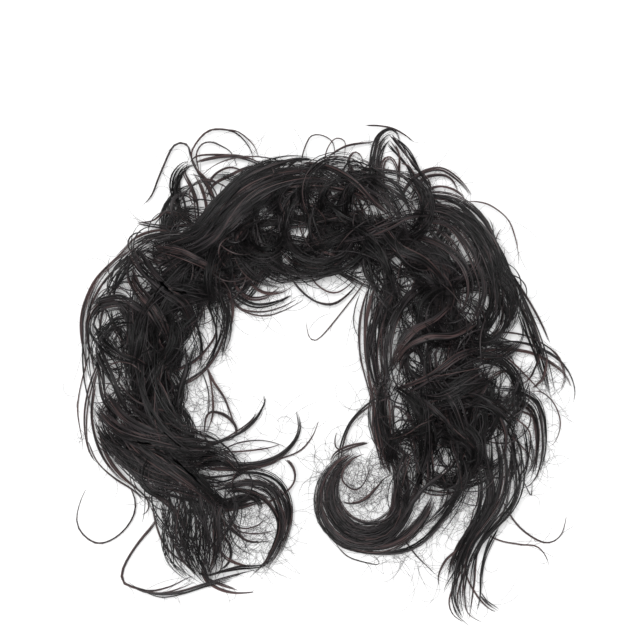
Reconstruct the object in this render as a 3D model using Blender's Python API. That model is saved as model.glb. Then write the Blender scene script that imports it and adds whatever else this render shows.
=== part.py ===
"""Wrap-round hairpiece for a top knot, lying open on a table as a C.

A bendable cord carries three lengths of curly hair, one after the other. Each is a root roll round the
cord with locks fused to it. Lengths are in millimetres until they reach a mesh. The C lies in the XY plane
and opens towards -Y. Stations run along the cord, from 0 at its left end over the top to 1 at its right end.
"""

import math
import random
from collections import namedtuple

import bmesh
import bpy
import numpy as np
from mathutils import Matrix, Vector

MM = 0.001

# Cord
LOOP_RADIUS = 100.0
CORD_DIAMETER = 5.0
CORD_CLEARANCE = 0.3
CORD_COVERED = 5.0
CORD_SIDES = 8
CORD_SEGMENTS = 32

# Root rolls: the gathered hair sewn round the cord, one in each length of hair
ROLL_WIDTH_SHARE = 0.62
ROLL_DEPTH = 30.0
ROLL_LIFT = 4.0
ROLL_GAP = 2.4
ROLL_SIDES = 16
ROLL_STEP = 5.0
ROLL_WAVE_LENGTH = 23.0
ROLL_WAVE_SHARE = 0.1
CORD_HEIGHT = ROLL_LIFT + ROLL_DEPTH / 2

# Balls that stand for a roll where distances to it are measured
BALL_RADIUS = ROLL_DEPTH / 5
BALLS_ACROSS = 9

# Locks
HAIR_HEIGHT = 48.0
HAIR_REACH = 43.0
TAIL_REACH = 60.0
LOCK_LENGTH = 110.0
LOCK_THICKNESS = 10.0
LOCK_TIP = 3.0
LOCK_GAP = 1.6
LOCK_SIDES = 8
LOCK_STEP = 5.0
CHECKS_PER_STEP = 2

# A lock's thickness: its share at the root, and where along the lock it is full and where it starts to thin
ROOT_THICKNESS_SHARE = 0.6
FULL_AT = 0.25
THINS_FROM = 0.4

# The locks that fill the mass, drawn at random. Shares are of the values above, and angles are in degrees.
ROOT_MARGIN = 7.0
SWEEP_SHARE = 0.45
LENGTH_SHARES = (0.45, 0.9)
THICKNESS_SHARES = (0.8, 1.2)
FIRST_TURN_SHARES = (0.25, 0.5)
LOCK_TRIES = 1200
SEED = 11
Habit = namedtuple("Habit", "leans turns")
SWEEP = Habit((50, 82), (30, 120))
CURL = Habit((0, 60), (120, 260))

# Heights at the root, the middle and the tip of the locks that fill the mass, as shares of HAIR_HEIGHT
Rise = namedtuple("Rise", "root middle tip")
RISES = [
    Rise(0.3, 0.1, 0.05),
    Rise(0.3, 0.2, 0.1),
    Rise(0.5, 0.6, 0.2),
    Rise(0.6, 1.0, 0.5),
    Rise(0.75, 1.0, 0.6),
    Rise(0.75, 1.0, 0.9),
]

# The melt that fuses the locks to their root roll
MELT_SIZE = 1.5

# The cord's line about the middle of the loop: angle from +X, and distance as a share of LOOP_RADIUS
RoutePoint = namedtuple("RoutePoint", "angle_deg radius_share")
ROUTE = [
    RoutePoint(218, 0.90),
    RoutePoint(196, 1.00),
    RoutePoint(175, 1.06),
    RoutePoint(151, 1.10),
    RoutePoint(129, 1.08),
    RoutePoint(107, 1.04),
    RoutePoint(85, 1.03),
    RoutePoint(63, 1.09),
    RoutePoint(43, 1.10),
    RoutePoint(23, 1.01),
    RoutePoint(2, 0.90),
    RoutePoint(-23, 0.875),
    RoutePoint(-41, 0.90),
]

# The three lengths of hair sewn to the cord, from its left end to its right, with the stations where each
# starts and ends, the number of its locks besides those of the outline, and the triangles of its skin
Hair = namedtuple("Hair", "name first_station last_station locks triangles")
HAIRS = [
    Hair("left", 0.0, 0.3, 56, 3300),
    Hair("crown", 0.3, 0.64, 60, 3400),
    Hair("right", 0.64, 1.0, 72, 4000),
]

# How far the hair reaches out of and into the loop at a station, as shares of HAIR_REACH
Reach = namedtuple("Reach", "station outer inner")
REACHES = [
    Reach(0.0, 0.85, 0.75),
    Reach(0.1, 0.80, 0.75),
    Reach(0.2, 0.78, 1.00),
    Reach(0.3, 0.82, 1.10),
    Reach(0.4, 1.12, 1.15),
    Reach(0.5, 0.95, 1.15),
    Reach(0.6, 1.02, 1.15),
    Reach(0.7, 1.00, 1.45),
    Reach(0.8, 1.20, 1.45),
    Reach(0.9, 1.38, 1.15),
    Reach(1.0, 1.40, 0.90),
]

# Openings that the random locks leave clear, about the middle of the loop, as shares of LOOP_RADIUS: inside
# the ring curl at the right end, and inside the curl at the left end
Opening = namedtuple("Opening", "x_share y_share radius_share")
OPENINGS = [
    Opening(0.39, -0.63, 0.15),
    Opening(-0.30, -0.94, 0.10),
]

# Long locks that give the piece its outline. Heading is the angle from +X at the root, and length a share
# of LOCK_LENGTH. The lock turns left by first_turn over its first half and by second_turn over its second.
# Thickness is a share of LOCK_THICKNESS. Root, middle and tip are heights there, as shares of HAIR_HEIGHT.
Lock = namedtuple("Lock", "hair station heading length first_turn second_turn thickness root middle tip")
OUTLINE_LOCKS = [
    Lock("left", 0.00, -125, 1.00, -30, -160, 0.6, 0.4, 0.15, 0.05),
    Lock("left", 0.00, -125, 1.10, 5, 160, 0.8, 0.4, 0.2, 0.05),
    Lock("left", 0.01, -115, 0.90, 35, 70, 0.9, 0.4, 0.1, 0.1),
    Lock("left", 0.00, -95, 0.75, 30, 30, 1.3, 0.4, 0.3, 0.1),
    Lock("left", 0.02, -75, 0.75, 5, 50, 1.3, 0.5, 0.5, 0.2),
    Lock("left", 0.00, -50, 0.70, -20, -60, 1.2, 0.4, 0.4, 0.2),
    Lock("left", 0.03, -25, 0.85, -35, -60, 1.2, 0.5, 0.5, 0.2),
    Lock("left", 0.00, -3, 1.00, -40, -100, 1.2, 0.4, 0.3, 0.1),
    Lock("left", 0.01, 10, 0.80, 5, 95, 0.7, 0.5, 0.5, 0.2),
    Lock("left", 0.05, 0, 0.80, 20, 115, 0.7, 0.6, 0.7, 0.4),
    Lock("left", 0.05, -108, 0.90, 32, 22, 1.2, 0.5, 0.3, 0.1),
    Lock("left", 0.14, -100, 0.90, 60, 35, 1.2, 0.8, 1.0, 0.7),
    Lock("left", 0.15, -135, 0.95, 75, 45, 1.2, 0.4, 0.3, 0.3),
    Lock("left", 0.18, 180, 0.75, 75, 25, 0.8, 0.4, 0.2, 0.05),
    Lock("left", 0.20, -5, 0.60, -50, -50, 1.1, 0.5, 0.4, 0.1),
    Lock("left", 0.22, -30, 0.60, -40, -50, 1.0, 0.4, 0.3, 0.1),
    Lock("left", 0.24, 165, 0.80, 80, 30, 0.9, 0.4, 0.3, 0.1),
    Lock("crown", 0.36, 130, 0.50, 40, 15, 0.8, 0.5, 0.5, 0.3),
    Lock("crown", 0.40, 110, 0.85, 0, 140, 0.5, 0.5, 0.6, 0.4),
    Lock("crown", 0.38, 112, 0.92, -30, -160, 0.6, 0.6, 0.8, 0.7),
    Lock("crown", 0.35, -20, 0.60, -30, -20, 1.0, 0.5, 0.4, 0.1),
    Lock("crown", 0.36, -150, 0.70, 40, 50, 1.2, 0.8, 1.0, 1.0),
    Lock("crown", 0.42, 65, 0.82, -30, -60, 1.1, 0.6, 0.8, 0.7),
    Lock("crown", 0.50, 60, 0.70, -40, -50, 1.1, 0.6, 0.7, 0.5),
    Lock("crown", 0.43, -125, 0.77, 55, 85, 0.9, 0.4, 0.2, 0.1),
    Lock("crown", 0.53, -125, 0.80, 50, 95, 0.9, 0.4, 0.3, 0.1),
    Lock("crown", 0.57, -118, 0.60, -15, -50, 1.0, 0.5, 0.5, 0.2),
    Lock("crown", 0.57, 92, 0.80, -22, -160, 1.0, 0.6, 0.7, 0.6),
    Lock("crown", 0.59, 60, 0.80, -25, -105, 0.8, 0.8, 0.9, 0.8),
    Lock("crown", 0.60, 10, 0.70, -60, -40, 1.2, 0.8, 1.0, 1.0),
    Lock("right", 0.69, 55, 0.80, -55, -105, 0.8, 0.5, 0.5, 0.2),
    Lock("right", 0.70, 75, 0.70, -60, -90, 1.1, 0.5, 0.5, 0.2),
    Lock("right", 0.73, 15, 0.78, -50, -35, 1.0, 0.5, 0.6, 0.1),
    Lock("right", 0.73, 175, 0.75, 60, 55, 1.1, 0.4, 0.3, 0.1),
    Lock("right", 0.80, -15, 0.78, 15, -80, 0.8, 0.5, 0.6, 0.4),
    Lock("right", 0.80, 150, 0.90, 75, 70, 1.1, 0.4, 0.3, 0.1),
    Lock("right", 0.86, -10, 0.80, -10, -115, 0.7, 0.5, 0.5, 0.2),
    Lock("right", 0.88, -15, 0.80, -40, -70, 1.1, 0.4, 0.1, 0.1),
    Lock("right", 0.92, -12, 1.20, -75, -60, 1.2, 0.4, 0.4, 0.1),
    Lock("right", 0.93, 160, 0.70, 30, 55, 0.9, 0.4, 0.4, 0.1),
    Lock("right", 0.94, -40, 0.80, -20, -50, 1.2, 0.5, 0.4, 0.2),
    Lock("right", 0.97, -60, 0.80, 10, -70, 1.3, 0.4, 0.4, 0.1),
    Lock("right", 0.97, -35, 0.95, -65, 30, 1.1, 0.4, 0.2, 0.1),
    Lock("right", 0.95, -52, 0.80, 18, 12, 0.6, 0.5, 0.5, 0.2),
    Lock("right", 0.98, -82, 1.14, -90, -131, 1.5, 0.4, 0.25, 0.25),
    Lock("right", 0.99, -100, 0.94, -92, -125, 1.2, 0.4, 0.4, 0.2),
]


def smooth_route(rows, per_span=12):
    """Points of a smooth curve through the rows, in plan."""
    corners = []
    for row in rows:
        angle = math.radians(row.angle_deg)
        corners.append(Vector((math.cos(angle), math.sin(angle))) * row.radius_share)
    corners = [2 * corners[0] - corners[1]] + corners + [2 * corners[-1] - corners[-2]]
    points = []
    for before, start, end, after in zip(corners, corners[1:], corners[2:], corners[3:]):
        for step in range(per_span):
            t = step / per_span
            points.append(
                0.5 * (2 * start + (end - before) * t + (2 * before - 5 * start + 4 * end - after) * t**2
                       + (3 * start - before - 3 * end + after) * t**3)
            )
    points.append(corners[-2])
    return [point * LOOP_RADIUS for point in points]


class Route:
    """The cord's centre line, measured by station."""

    def __init__(self, rows):
        self.points = smooth_route(rows)
        self.lengths = [0.0]
        for start, end in zip(self.points, self.points[1:]):
            self.lengths.append(self.lengths[-1] + (end - start).length)
        self.length = self.lengths[-1]

    def at(self, station):
        """The place of a station and the angle of the cord there."""
        wanted = min(max(station, 0.0), 1.0) * self.length
        span = next(i for i in range(1, len(self.points)) if self.lengths[i] >= wanted - 1e-9)
        start, end = self.points[span - 1], self.points[span]
        share = (wanted - self.lengths[span - 1]) / (self.lengths[span] - self.lengths[span - 1])
        along = end - start
        return start.lerp(end, share), math.atan2(along.y, along.x)

    def nearest(self, point):
        """The station nearest to a point in plan, and how far out of the loop the point lies from there."""
        spot = min(range(len(self.points)), key=lambda i: (self.points[i] - point).length_squared)
        station = self.lengths[spot] / self.length
        place, angle = self.at(station)
        outward = Vector((-math.sin(angle), math.cos(angle)))
        offset = point - place
        return station, offset.dot(outward), offset.length

    def line(self, start, end, segments):
        """Points at the cord's height between two stations."""
        places = [self.at(start + (end - start) * i / segments)[0] for i in range(segments + 1)]
        return [Vector((place.x, place.y, CORD_HEIGHT)) for place in places]


def lock_radius(lock, t):
    """A lock is narrower at its root, then full, and drawn to its tip."""
    swell = ROOT_THICKNESS_SHARE + (1 - ROOT_THICKNESS_SHARE) * math.sin(min(t / FULL_AT, 1.0) * math.pi / 2)
    taper = 1 - (max(t - THINS_FROM, 0) / (1 - THINS_FROM)) ** 1.5
    return 0.5 * (LOCK_TIP + (lock.thickness * LOCK_THICKNESS - LOCK_TIP) * swell * taper)


def ease(t):
    return t * t * (3 - 2 * t)


def two_part(t, start, middle, end):
    """From start to middle over the first half, and on to the end over the second."""
    return start + (middle - start) * 2 * t if t < 0.5 else middle + (end - middle) * (2 * t - 1)


def lock_line(route, lock):
    """Centre points and radii of a lock, from its root on the cord to its tip."""
    length = lock.length * LOCK_LENGTH
    steps = max(8, round(length / LOCK_STEP))
    spot = route.at(lock.station)[0].copy()
    points, radii = [], []
    for i in range(steps + 1):
        t = i / steps
        radius = lock_radius(lock, t)
        height = HAIR_HEIGHT * two_part(ease(t), lock.root, lock.middle, lock.tip)
        points.append(Vector((spot.x, spot.y, min(max(height, radius), HAIR_HEIGHT - radius))))
        radii.append(radius)
        turn = two_part(t + 0.5 / steps, 0, lock.first_turn, lock.first_turn + lock.second_turn)
        heading = math.radians(lock.heading + turn)
        spot = spot + Vector((math.cos(heading), math.sin(heading))) * length / steps
    return points, radii


def reach_at(station, side):
    """How far the hair reaches at a station, on the outer (1) or the inner (-1) side."""
    values = [row.outer if side > 0 else row.inner for row in REACHES]
    return HAIR_REACH * float(np.interp(station, [row.station for row in REACHES], values))


def leaves_openings(points, radii):
    """Whether a lock keeps clear of the openings in the hair."""
    for opening in OPENINGS:
        middle = Vector((opening.x_share, opening.y_share)) * LOOP_RADIUS
        room = opening.radius_share * LOOP_RADIUS
        if any((point.to_2d() - middle).length < room + radius for point, radius in zip(points, radii)):
            return False
    return True


def inside_outline(route, points, radii):
    if not leaves_openings(points, radii):
        return False
    for point, radius in zip(points[1:], radii[1:]):
        station, out, distance = route.nearest(Vector((point.x, point.y)))
        past_end = station in (0.0, 1.0)
        if distance + radius > (TAIL_REACH if past_end else reach_at(station, 1 if out > 0 else -1)):
            return False
    return True


def close_row(points, radii):
    """Rows of x, y, z and radius close together along a line, for measuring its distance to others."""
    rows = np.array([(*point, radius) for point, radius in zip(points, radii)])
    shares = np.arange(CHECKS_PER_STEP)[:, None] / CHECKS_PER_STEP
    between = [start + (end - start) * shares for start, end in zip(rows, rows[1:])]
    return np.concatenate([*between, rows[-1:]])


def clear_count(row, others):
    """How many places of the row, from its root on, come before the first that is too near to another row."""
    count = len(row)
    for other in others:
        apart = np.linalg.norm(row[:count, None, :3] - other[None, :, :3], axis=2)
        near = (apart < row[:count, None, 3] + other[None, :, 3] + LOCK_GAP).any(axis=1)
        if near.any():
            count = int(np.argmax(near))
    return count


def skin_rings(name, rings):
    """A closed body from rings of points, with flat ends."""
    mesh = bmesh.new()
    sides = len(rings[0])
    rings = [[mesh.verts.new(point * MM) for point in ring] for ring in rings]
    for ring, following in zip(rings, rings[1:]):
        for side in range(sides):
            after = (side + 1) % sides
            mesh.faces.new((ring[side], ring[after], following[after], following[side]))
    mesh.faces.new(reversed(rings[0]))
    mesh.faces.new(rings[-1])
    bmesh.ops.recalc_face_normals(mesh, faces=mesh.faces)
    data = bpy.data.meshes.new(name)
    mesh.to_mesh(data)
    mesh.free()
    made = bpy.data.objects.new(name, data)
    bpy.context.scene.collection.objects.link(made)
    return made


def tube(name, points, radii, sides):
    """A closed round tube through points."""
    rings = []
    across = Vector((0, 0, 1))
    for i, point in enumerate(points):
        along = (points[min(i + 1, len(points) - 1)] - points[max(i - 1, 0)]).normalized()
        across = (across - along * across.dot(along)).normalized()
        up = along.cross(across)
        ring = []
        for side in range(sides):
            angle = 2 * math.pi * side / sides
            ring.append(point + (across * math.cos(angle) + up * math.sin(angle)) * radii[i])
        rings.append(ring)
    return skin_rings(name, rings)


def bake_modifiers(body):
    """Replaces the object's mesh by the one that its modifiers make."""
    graph = bpy.context.evaluated_depsgraph_get()
    mesh = bpy.data.meshes.new_from_object(body.evaluated_get(graph))
    body.modifiers.clear()
    body.data = mesh


def fuse(body, others, triangles):
    """Melts the others into the body as one skin, with few faces."""
    mesh = bmesh.new()
    for part in [body, *others]:
        mesh.from_mesh(part.data)
    mesh.to_mesh(body.data)
    mesh.free()
    for other in others:
        bpy.data.objects.remove(other)
    remesh = body.modifiers.new("melt", "REMESH")
    remesh.mode = "VOXEL"
    remesh.voxel_size = MELT_SIZE * MM
    bake_modifiers(body)
    keep_outer_skin(body)
    thin = body.modifiers.new("thin", "DECIMATE")
    thin.ratio = triangles / (2 * len(body.data.polygons))
    bake_modifiers(body)


def cut(body, cutter):
    """Cuts the cutter's shape out of the body and removes it. The exact solver fails on folded hair."""
    modifier = body.modifiers.new("cut", "BOOLEAN")
    modifier.operation = "DIFFERENCE"
    modifier.solver = "MANIFOLD"
    modifier.object = cutter
    bake_modifiers(body)
    bpy.data.objects.remove(cutter)


def keep_outer_skin(body):
    """Drops the pockets and crumbs that the joins left, so that one closed skin remains."""
    mesh = bmesh.new()
    mesh.from_mesh(body.data)
    left = set(mesh.faces)
    islands = []
    while left:
        stack = [left.pop()]
        island = list(stack)
        while stack:
            for edge in stack.pop().edges:
                if len(edge.link_faces) != 2:
                    continue
                for face in edge.link_faces:
                    if face in left:
                        left.discard(face)
                        island.append(face)
                        stack.append(face)
        islands.append(island)
    islands.sort(key=len)
    bmesh.ops.delete(mesh, geom=[face for island in islands[:-1] for face in island], context="FACES")
    mesh.to_mesh(body.data)
    mesh.free()


def material(name, colour, roughness):
    made = bpy.data.materials.new(name)
    made.use_nodes = True
    shader = made.node_tree.nodes["Principled BSDF"]
    shader.inputs["Base Color"].default_value = (*colour, 1.0)
    shader.inputs["Roughness"].default_value = roughness
    shader.inputs["Metallic"].default_value = 0.0
    return made


def mass_lock(hair, route, chance):
    """One lock drawn at random: a sweep along the cord, or a curl away from it."""
    margin = ROOT_MARGIN / route.length
    station = chance.uniform(hair.first_station + margin, hair.last_station - margin)
    side = chance.choice((1, -1))
    sense = chance.choice((1, -1))
    habit = SWEEP if chance.random() < SWEEP_SHARE else CURL
    heading = math.degrees(route.at(station)[1]) + 90 * side + sense * chance.uniform(*habit.leans)
    turn = -sense * chance.uniform(*habit.turns)
    first_share = chance.uniform(*FIRST_TURN_SHARES)
    length, thickness = chance.uniform(*LENGTH_SHARES), chance.uniform(*THICKNESS_SHARES)
    turns = (turn * first_share, turn * (1 - first_share))
    return Lock(hair.name, station, heading, length, *turns, thickness, *chance.choice(RISES))


def roll_sections(route, hair):
    """The middle, the way across and the half width of a root roll's oval sections, square to the cord."""
    half_gap = 0.5 * ROLL_GAP / route.length
    start = hair.first_station + (half_gap if hair.first_station > 0 else 0)
    end = hair.last_station - (half_gap if hair.last_station < 1 else 0)
    length = (end - start) * route.length
    segments = round(length / ROLL_STEP)
    sections = []
    for i in range(segments + 1):
        station = start + (end - start) * i / segments
        spot, angle = route.at(station)
        across = Vector((-math.sin(angle), math.cos(angle), 0))
        outer, inner = (ROLL_WIDTH_SHARE * reach_at(station, side) for side in (1, -1))
        wave = 1 + ROLL_WAVE_SHARE * math.cos(2 * math.pi * length / ROLL_WAVE_LENGTH * i / segments)
        middle = Vector((spot.x, spot.y, CORD_HEIGHT)) + across * 0.5 * (outer - inner)
        sections.append((middle, across, 0.5 * (outer + inner) * wave))
    return sections


def build_roll(name, sections):
    angles = [2 * math.pi * side / ROLL_SIDES for side in range(ROLL_SIDES)]
    up = Vector((0, 0, ROLL_DEPTH / 2))
    rings = []
    for middle, across, half_width in sections:
        out = across * half_width
        rings.append([middle + out * math.cos(angle) + up * math.sin(angle) for angle in angles])
    return skin_rings(name, rings)


def roll_row(sections):
    """Balls that fill a root roll, as rows of x, y, z and radius."""
    inset = math.floor(BALL_RADIUS / ROLL_STEP)
    rows = []
    for middle, across, half_width in sections[inset:-inset]:
        for share in np.linspace(-1, 1, BALLS_ACROSS):
            for level in (-1, 0, 1):
                lift = Vector((0, 0, level * (ROLL_DEPTH / 2 - BALL_RADIUS) * math.sqrt(1 - share**2)))
                rows.append((*(middle + across * (half_width - BALL_RADIUS) * share + lift), BALL_RADIUS))
    return np.array(rows)


def lay_out_locks(route):
    """The lines of all locks: those of the outline, trimmed short of other hair, then ones clear of it."""
    chance = random.Random(SEED)
    lines = {hair.name: [] for hair in HAIRS}
    rows = {hair.name: [roll_row(roll_sections(route, hair))] for hair in HAIRS}
    for lock in OUTLINE_LOCKS:
        points, radii = lock_line(route, lock)
        row = close_row(points, radii)
        clear = clear_count(row, [other for name in rows if name != lock.hair for other in rows[name]])
        steps = (clear - 1) // CHECKS_PER_STEP
        lines[lock.hair].append((points[:steps + 1], radii[:steps + 1]))
        rows[lock.hair].append(row[:clear])
    for hair in HAIRS:
        others = [other for name in rows if name != hair.name for other in rows[name]]
        wanted = hair.locks + len(lines[hair.name])
        for _ in range(LOCK_TRIES):
            if len(lines[hair.name]) >= wanted:
                break
            points, radii = lock_line(route, mass_lock(hair, route, chance))
            row = close_row(points, radii)
            if inside_outline(route, points, radii) and clear_count(row, others) == len(row):
                lines[hair.name].append((points, radii))
                rows[hair.name].append(row)
    return lines


def cord_tube(name, route, clearance):
    """The cord, or the space that it needs. Hair covers its ends."""
    covered = (CORD_COVERED - clearance) / route.length
    radii = [CORD_DIAMETER / 2 + clearance] * (CORD_SEGMENTS + 1)
    return tube(name, route.line(covered, 1 - covered, CORD_SEGMENTS), radii, CORD_SIDES)


def build_cord(route):
    cord = cord_tube("core_cord", route, 0)
    cord.data.materials.append(material("cord_cover", (0.02, 0.017, 0.016), 0.8))
    return cord


def build_hair(route, hair, lines, finish):
    """A root roll with its locks fused to it, bored for the cord."""
    body = build_roll("hair_" + hair.name, roll_sections(route, hair))
    fuse(body, [tube("lock", points, radii, LOCK_SIDES) for points, radii in lines], hair.triangles)
    cut(body, cord_tube("cord_space", route, CORD_CLEARANCE))
    keep_outer_skin(body)
    body.data.materials.clear()
    body.data.materials.append(finish)
    return body


def set_origin(objects):
    """Moves the model so that the origin is below the middle of its box, on the table."""
    corners = [vert.co for obj in objects for vert in obj.data.vertices]
    low = Vector([min(corner[axis] for corner in corners) for axis in range(3)])
    high = Vector([max(corner[axis] for corner in corners) for axis in range(3)])
    shift = Vector((-(low.x + high.x) / 2, -(low.y + high.y) / 2, -low.z))
    for obj in objects:
        obj.data.transform(Matrix.Translation(shift))


def main():
    for obj in list(bpy.data.objects):
        bpy.data.objects.remove(obj)
    route = Route(ROUTE)
    lines = lay_out_locks(route)
    finish = material("dark_hair", (0.018, 0.013, 0.012), 0.42)
    made = [build_cord(route)]
    for hair in HAIRS:
        made.append(build_hair(route, hair, lines[hair.name], finish))
    set_origin(made)


if __name__ == "__main__":
    main()
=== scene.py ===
"""Wrap-round hairpiece for a top knot: curly dark hair on one cord, lying open on a white table.

Lengths are in millimetres until they reach a mesh. Lines read from the photograph are in its pixels,
with Y down. Each of the three lengths of hair is made of closed strands: a mass of random locks round
the cord, fans and curls that follow the photograph, and fine fuzz.
"""

import math
from collections import namedtuple

import bpy
import numpy as np
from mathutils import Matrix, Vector


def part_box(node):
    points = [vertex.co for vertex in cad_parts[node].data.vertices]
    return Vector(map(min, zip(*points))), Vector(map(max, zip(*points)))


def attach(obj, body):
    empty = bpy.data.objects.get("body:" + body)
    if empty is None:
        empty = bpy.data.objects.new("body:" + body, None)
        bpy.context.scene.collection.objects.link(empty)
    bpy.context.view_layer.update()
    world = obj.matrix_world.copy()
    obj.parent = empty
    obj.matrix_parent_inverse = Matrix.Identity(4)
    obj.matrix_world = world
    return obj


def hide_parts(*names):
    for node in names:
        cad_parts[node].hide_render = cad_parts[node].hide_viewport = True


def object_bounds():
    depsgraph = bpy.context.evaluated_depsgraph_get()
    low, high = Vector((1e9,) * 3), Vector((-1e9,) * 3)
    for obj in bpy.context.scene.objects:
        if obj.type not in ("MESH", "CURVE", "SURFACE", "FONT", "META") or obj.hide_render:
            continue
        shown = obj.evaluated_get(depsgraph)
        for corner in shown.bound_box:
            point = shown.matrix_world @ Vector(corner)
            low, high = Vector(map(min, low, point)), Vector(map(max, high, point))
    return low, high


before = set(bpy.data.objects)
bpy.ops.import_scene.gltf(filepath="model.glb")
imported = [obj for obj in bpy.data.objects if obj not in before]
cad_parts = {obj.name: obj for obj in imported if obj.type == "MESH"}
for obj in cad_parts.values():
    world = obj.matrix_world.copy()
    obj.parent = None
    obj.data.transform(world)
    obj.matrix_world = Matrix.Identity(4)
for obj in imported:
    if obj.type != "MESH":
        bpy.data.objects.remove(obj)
cad_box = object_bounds()

MM = 0.001
FULL_TURN = 2 * math.pi
SEED = 100

# The photograph: its scale, the pixel at the middle of the loop, its own middle and its width
PIXEL = 0.62
LOOP_PIXEL = np.array((305.0, 385.0))
PHOTO_MIDDLE = np.array((320.0, 320.0))
PHOTO_WIDTH = 640.0

# The camera looks straight down, and its frame is as wide as the photograph at this height
LENS = 120.0
SENSOR = 36.0
FOCUS_HEIGHT = 18.0
CAMERA_DISTANCE = PHOTO_WIDTH * PIXEL * LENS / SENSOR

# The table and the light, in metres and watts
TABLE_HALF = 3.0
TABLE_WHITE = (0.92, 0.92, 0.92, 1)
TABLE_ROUGHNESS = 0.9
LIGHT_PLACE = (-0.06, 0.12, 1.65)
LIGHT_SIZE = 0.4
LIGHT_POWER = 28.0
WORLD_COLOUR = (1, 1, 1, 1)
WORLD_STRENGTH = 0.42

# Hair colours by tone, dark, light and red. Noise varies the tone along a strand.
# The red end is partly the hair's own reddish brown and partly painted light, for light shining through thin
# strands.
Finish = namedtuple("Finish", "name dark light red roughness")
STRAND_FINISH = Finish(
    "dark_hair_strands", (0.0015, 0.0014, 0.0015), (0.046, 0.04, 0.0425), (0.1, 0.062, 0.06), 0.4
)
FUZZ_FINISH = Finish(
    "fine_hair_strands", (0.01, 0.008, 0.009), (0.045, 0.037, 0.042), (0.07, 0.05, 0.05), 0.5
)
CORD_FINISH = Finish("cord_thread", (0.006, 0.005, 0.005), (0.02, 0.017, 0.017), (0.03, 0.022, 0.02), 0.8)
DARK_AT = 0.28
LIGHT_AT = 0.75
RED_AT = 1.0
SPECULAR = 0.22
NOISE_SCALE = 90.0
NOISE_DETAIL = 3.0
NOISE_SHARE = 0.6
BUNDLE_TONE_SPREAD = 0.06
STRAND_TONE_SPREAD = 0.26

# The cord, as in the CAD model. Its route has an angle in degrees and a share of LOOP_RADIUS at each point.
LOOP_RADIUS = 100.0
CORD_RADIUS = 2.5
CORD_HEIGHT = 19.0
CORD_COVERED = 5.0
ROUTE = [
    (218, 0.90), (196, 1.00), (175, 1.06), (151, 1.10), (129, 1.08), (107, 1.04), (85, 1.03), (63, 1.09),
    (43, 1.10), (23, 1.01), (2, 0.90), (-23, 0.875), (-41, 0.90),
]
ROUTE_STEPS = 160

# Nothing of the hair is higher than this
HAIR_HEIGHT = 48.0

# How far the dense hair reaches out of and into the loop at a station of the cord: station, out, in.
# Then how far it reaches past the ends of the cord, and fuzz past the CAD model's box.
REACHES = [
    (0.0, 35, 30), (0.1, 32, 31), (0.2, 31, 39), (0.3, 33, 45), (0.4, 43, 47), (0.5, 37, 45), (0.6, 41, 45),
    (0.7, 42, 57), (0.8, 48, 58), (0.9, 54, 46), (1.0, 56, 35),
]
TAIL_REACH = 45.0
BOX_MARGIN = 6.0

# Strands: their width and tone, how many make a clump, and how far clumps and strands lie from the middle,
# wander and stray, as shares of the half width of their lock
Strand = namedtuple(
    "Strand", "width tone steps clump_size clump_out own_out wander wave stray", defaults=[0.0] * 6
)
MASS_STRAND = Strand(0.62, 0.26, 12, 3, 0.95, 0.45, 0.30, 0.06, 0.5)
FAN_STRAND = Strand(0.58, 0.38, 17, 3, own_out=0.05, wander=0.1)
SLEEVE_STRAND = Strand(0.62, 0.40, 14)
CURL_STRAND = Strand(0.68, 0.55, 17, 4, 0.85, 0.26, 0.22, 0.05, 0.4)
TANGLE_STRAND = Strand(0.6, 0.45, 15, 4, 0.85, 0.3, 0.3, 0.08, 0.5)
# Thin strands take a tone near the red end: the hair's own reddish brown, lightened as painted light shining
# through thin hair
THIN_STRAND = Strand(0.72, 0.92, 18, 3, 0.75, 0.35, 0.25, 0.05, 0.4)
FUZZ_STRAND = Strand(0.17, 0.6, 6)

# A strand's section, and its width at its root and its tip
STRAND_SIDES = 3
STRAND_FLATNESS = 0.7
ROOT_WIDTH_SHARE = 0.3
ROOT_TO = 0.12
TIP_WIDTH_SHARE = 0.2
TIP_FROM = 0.65
TABLE_GAP = 0.1
LOWEST_MIDDLE = 1.0

# A lock's spread: its share at the root, what it gains until it is full, and what it loses towards its tip
ROOT_SPREAD = 0.7
SPREAD_GAIN = 0.3
FULL_AT = 0.25
SPREAD_LOSS = 0.7
THINS_FROM = 0.45
THINS_OVER = 0.55
THINS_POWER = 1.5

# Where clumps, and strands within them, start and end along their lock, and how often they turn along it
CLUMP_STARTS = (0, 0.1)
CLUMP_ENDS = (0.84, 0.98)
OWN_STARTS = (0, 0.06)
OWN_ENDS = (-0.05, 0.02)
CLUMP_TURNS = (0.4, 1.3)
OWN_TURNS = (1.0, 3.0)
STRAYS_FROM = 0.45

# The same along a fan, and how far its strands lie above or below its layer
FAN_CLUMP_STARTS = (0, 0.28)
FAN_CLUMP_ENDS = (0.72, 0.97)
FAN_OWN_ENDS = (-0.08, 0.03)
FAN_TURNS = (0.5, 2.0)
FAN_CLUMP_LIFTS = (-7, 4)
FAN_OWN_LIFTS = (-0.8, 0.8)

# Steps of the lines that strands follow
SPAN_STEPS = 12
LINE_STEPS = 32
MASS_STEPS = 16
TANGLE_STEPS = 24

# Mass locks: a sweep leans far over along the cord, and the others curl away from it. Angles are in degrees.
MassKind = namedtuple("MassKind", "leans turns")
SWEEP = MassKind((50, 82), (10, 90))
COIL = MassKind((0, 60), (60, 220))
SWEEP_SHARE = 0.45
MASS_TRIES = 1600
MASS_STRANDS = 24
MASS_THICKNESS = (9.0, 13.0)
MASS_LENGTHS = (45.0, 95.0)
MASS_IN_BAND = 0.3

# Tangles: small loose curls of a few strands, within the band's reach or just over it
TANGLE_TRIES = 4000
TANGLE_STRANDS = (2, 5)
TANGLE_OUT = 38.0
TANGLE_OVER = 3.0
TANGLE_TURNS = (60.0, 270.0)
TANGLE_LENGTHS = (28.0, 75.0)
TANGLE_PACES = (1.3, 0.7)
TANGLE_WIDTHS = (1.2, 3.4)
LOWEST_TANGLE_LAYER = 2

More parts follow.
